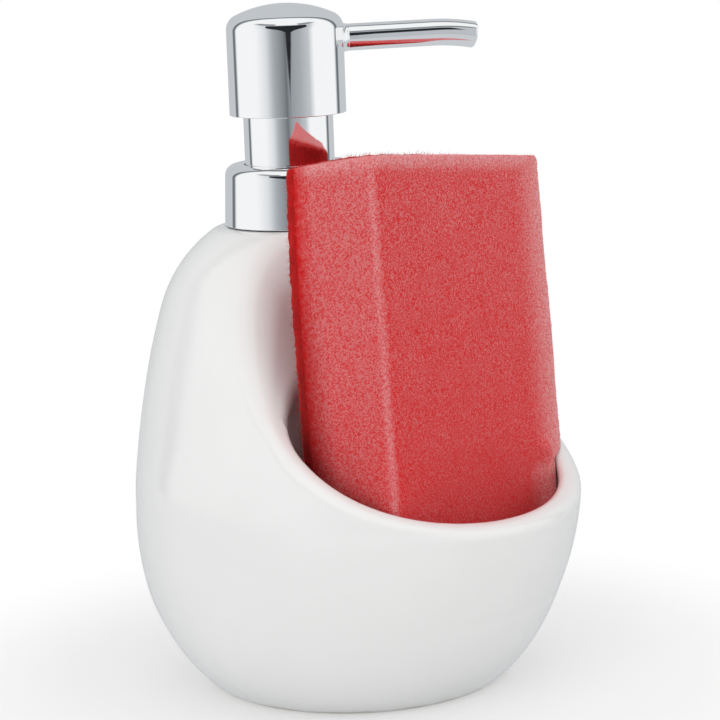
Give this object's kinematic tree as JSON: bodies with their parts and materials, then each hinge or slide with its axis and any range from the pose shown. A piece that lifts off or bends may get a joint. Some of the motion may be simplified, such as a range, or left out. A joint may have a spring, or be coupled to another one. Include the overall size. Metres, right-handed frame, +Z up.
{
  "type": "soap pump caddy",
  "caption": "Egg-shaped ceramic caddy with a chrome soap pump behind and an open cup that holds a sponge in front.",
  "frame": {"origin": "centre of the round foot, on the table", "axes": "+Z up, +X from the pump towards the cup's front lip, +Y to the side that the spout points to"},
  "size_m": [0.1152, 0.1152, 0.174],
  "materials": {
    "glazed_white": "glossy glaze",
    "chrome": "mirror polish",
    "white_plastic": "satin",
    "clear_plastic": "cloudy, glossy",
    "seal_rubber": "matt",
    "spring_steel": "bright drawn wire",
    "valve_steel": "polished",
    "red_foam": "open-cell foam, matt",
    "red_scourer": "coarse non-woven pad, matt"
  },
  "bodies": {
    "caddy": {"ceramic_body": "glazed_white"},
    "pump": {"neck_stopper": "seal_rubber", "plug_body": "white_plastic", "collar_liner": "white_plastic", "collar_shell": "chrome", "seal_washer": "seal_rubber", "pump_housing": "clear_plastic", "dip_tube": "clear_plastic", "ball_cage": "white_plastic", "return_spring": "spring_steel", "stem_guide": "white_plastic", "stem_seal": "seal_rubber"},
    "inlet_valve": {"inlet_ball": "valve_steel"},
    "plunger": {"piston_seat": "white_plastic", "piston": "clear_plastic"},
    "head": {"stem": "white_plastic", "stem_sleeve": "chrome", "head_core": "white_plastic", "head_shell": "chrome", "spout_tube": "chrome", "spout_liner": "white_plastic"},
    "outlet_valve": {"outlet_ball": "valve_steel"},
    "sponge": {"sponge_foam": "red_foam", "scourer_pad": "red_scourer"}
  },
  "joints": [
    {"name": "pump_lift_out", "type": "slide", "parent": "caddy", "child": "pump", "axis": [0, 0, 1], "range_m": [0, 0.125]},
    {"name": "head_press", "type": "slide", "parent": "pump", "child": "plunger", "axis": [0, 0, -1], "range_m": [0, 0.012], "stiffness_N_per_m": 250, "springref_m": -0.03, "deforming": ["return_spring"]},
    {"name": "head_swivel", "type": "hinge", "parent": "plunger", "child": "head", "pos_m": [-0.0175, 0, 0.14], "axis": [0, 0, 1], "continuous": true},
    {"name": "inlet_ball_lift", "type": "slide", "parent": "pump", "child": "inlet_valve", "axis": [0, 0, 1], "range_m": [0, 0.0015]},
    {"name": "outlet_ball_lift", "type": "slide", "parent": "head", "child": "outlet_valve", "axis": [0, 0, 1], "range_m": [0, 0.0015]},
    {"name": "sponge_lift", "type": "slide", "parent": "caddy", "child": "sponge", "axis": [0, 0, 1], "range_m": [0, 0.1]}
  ]
}
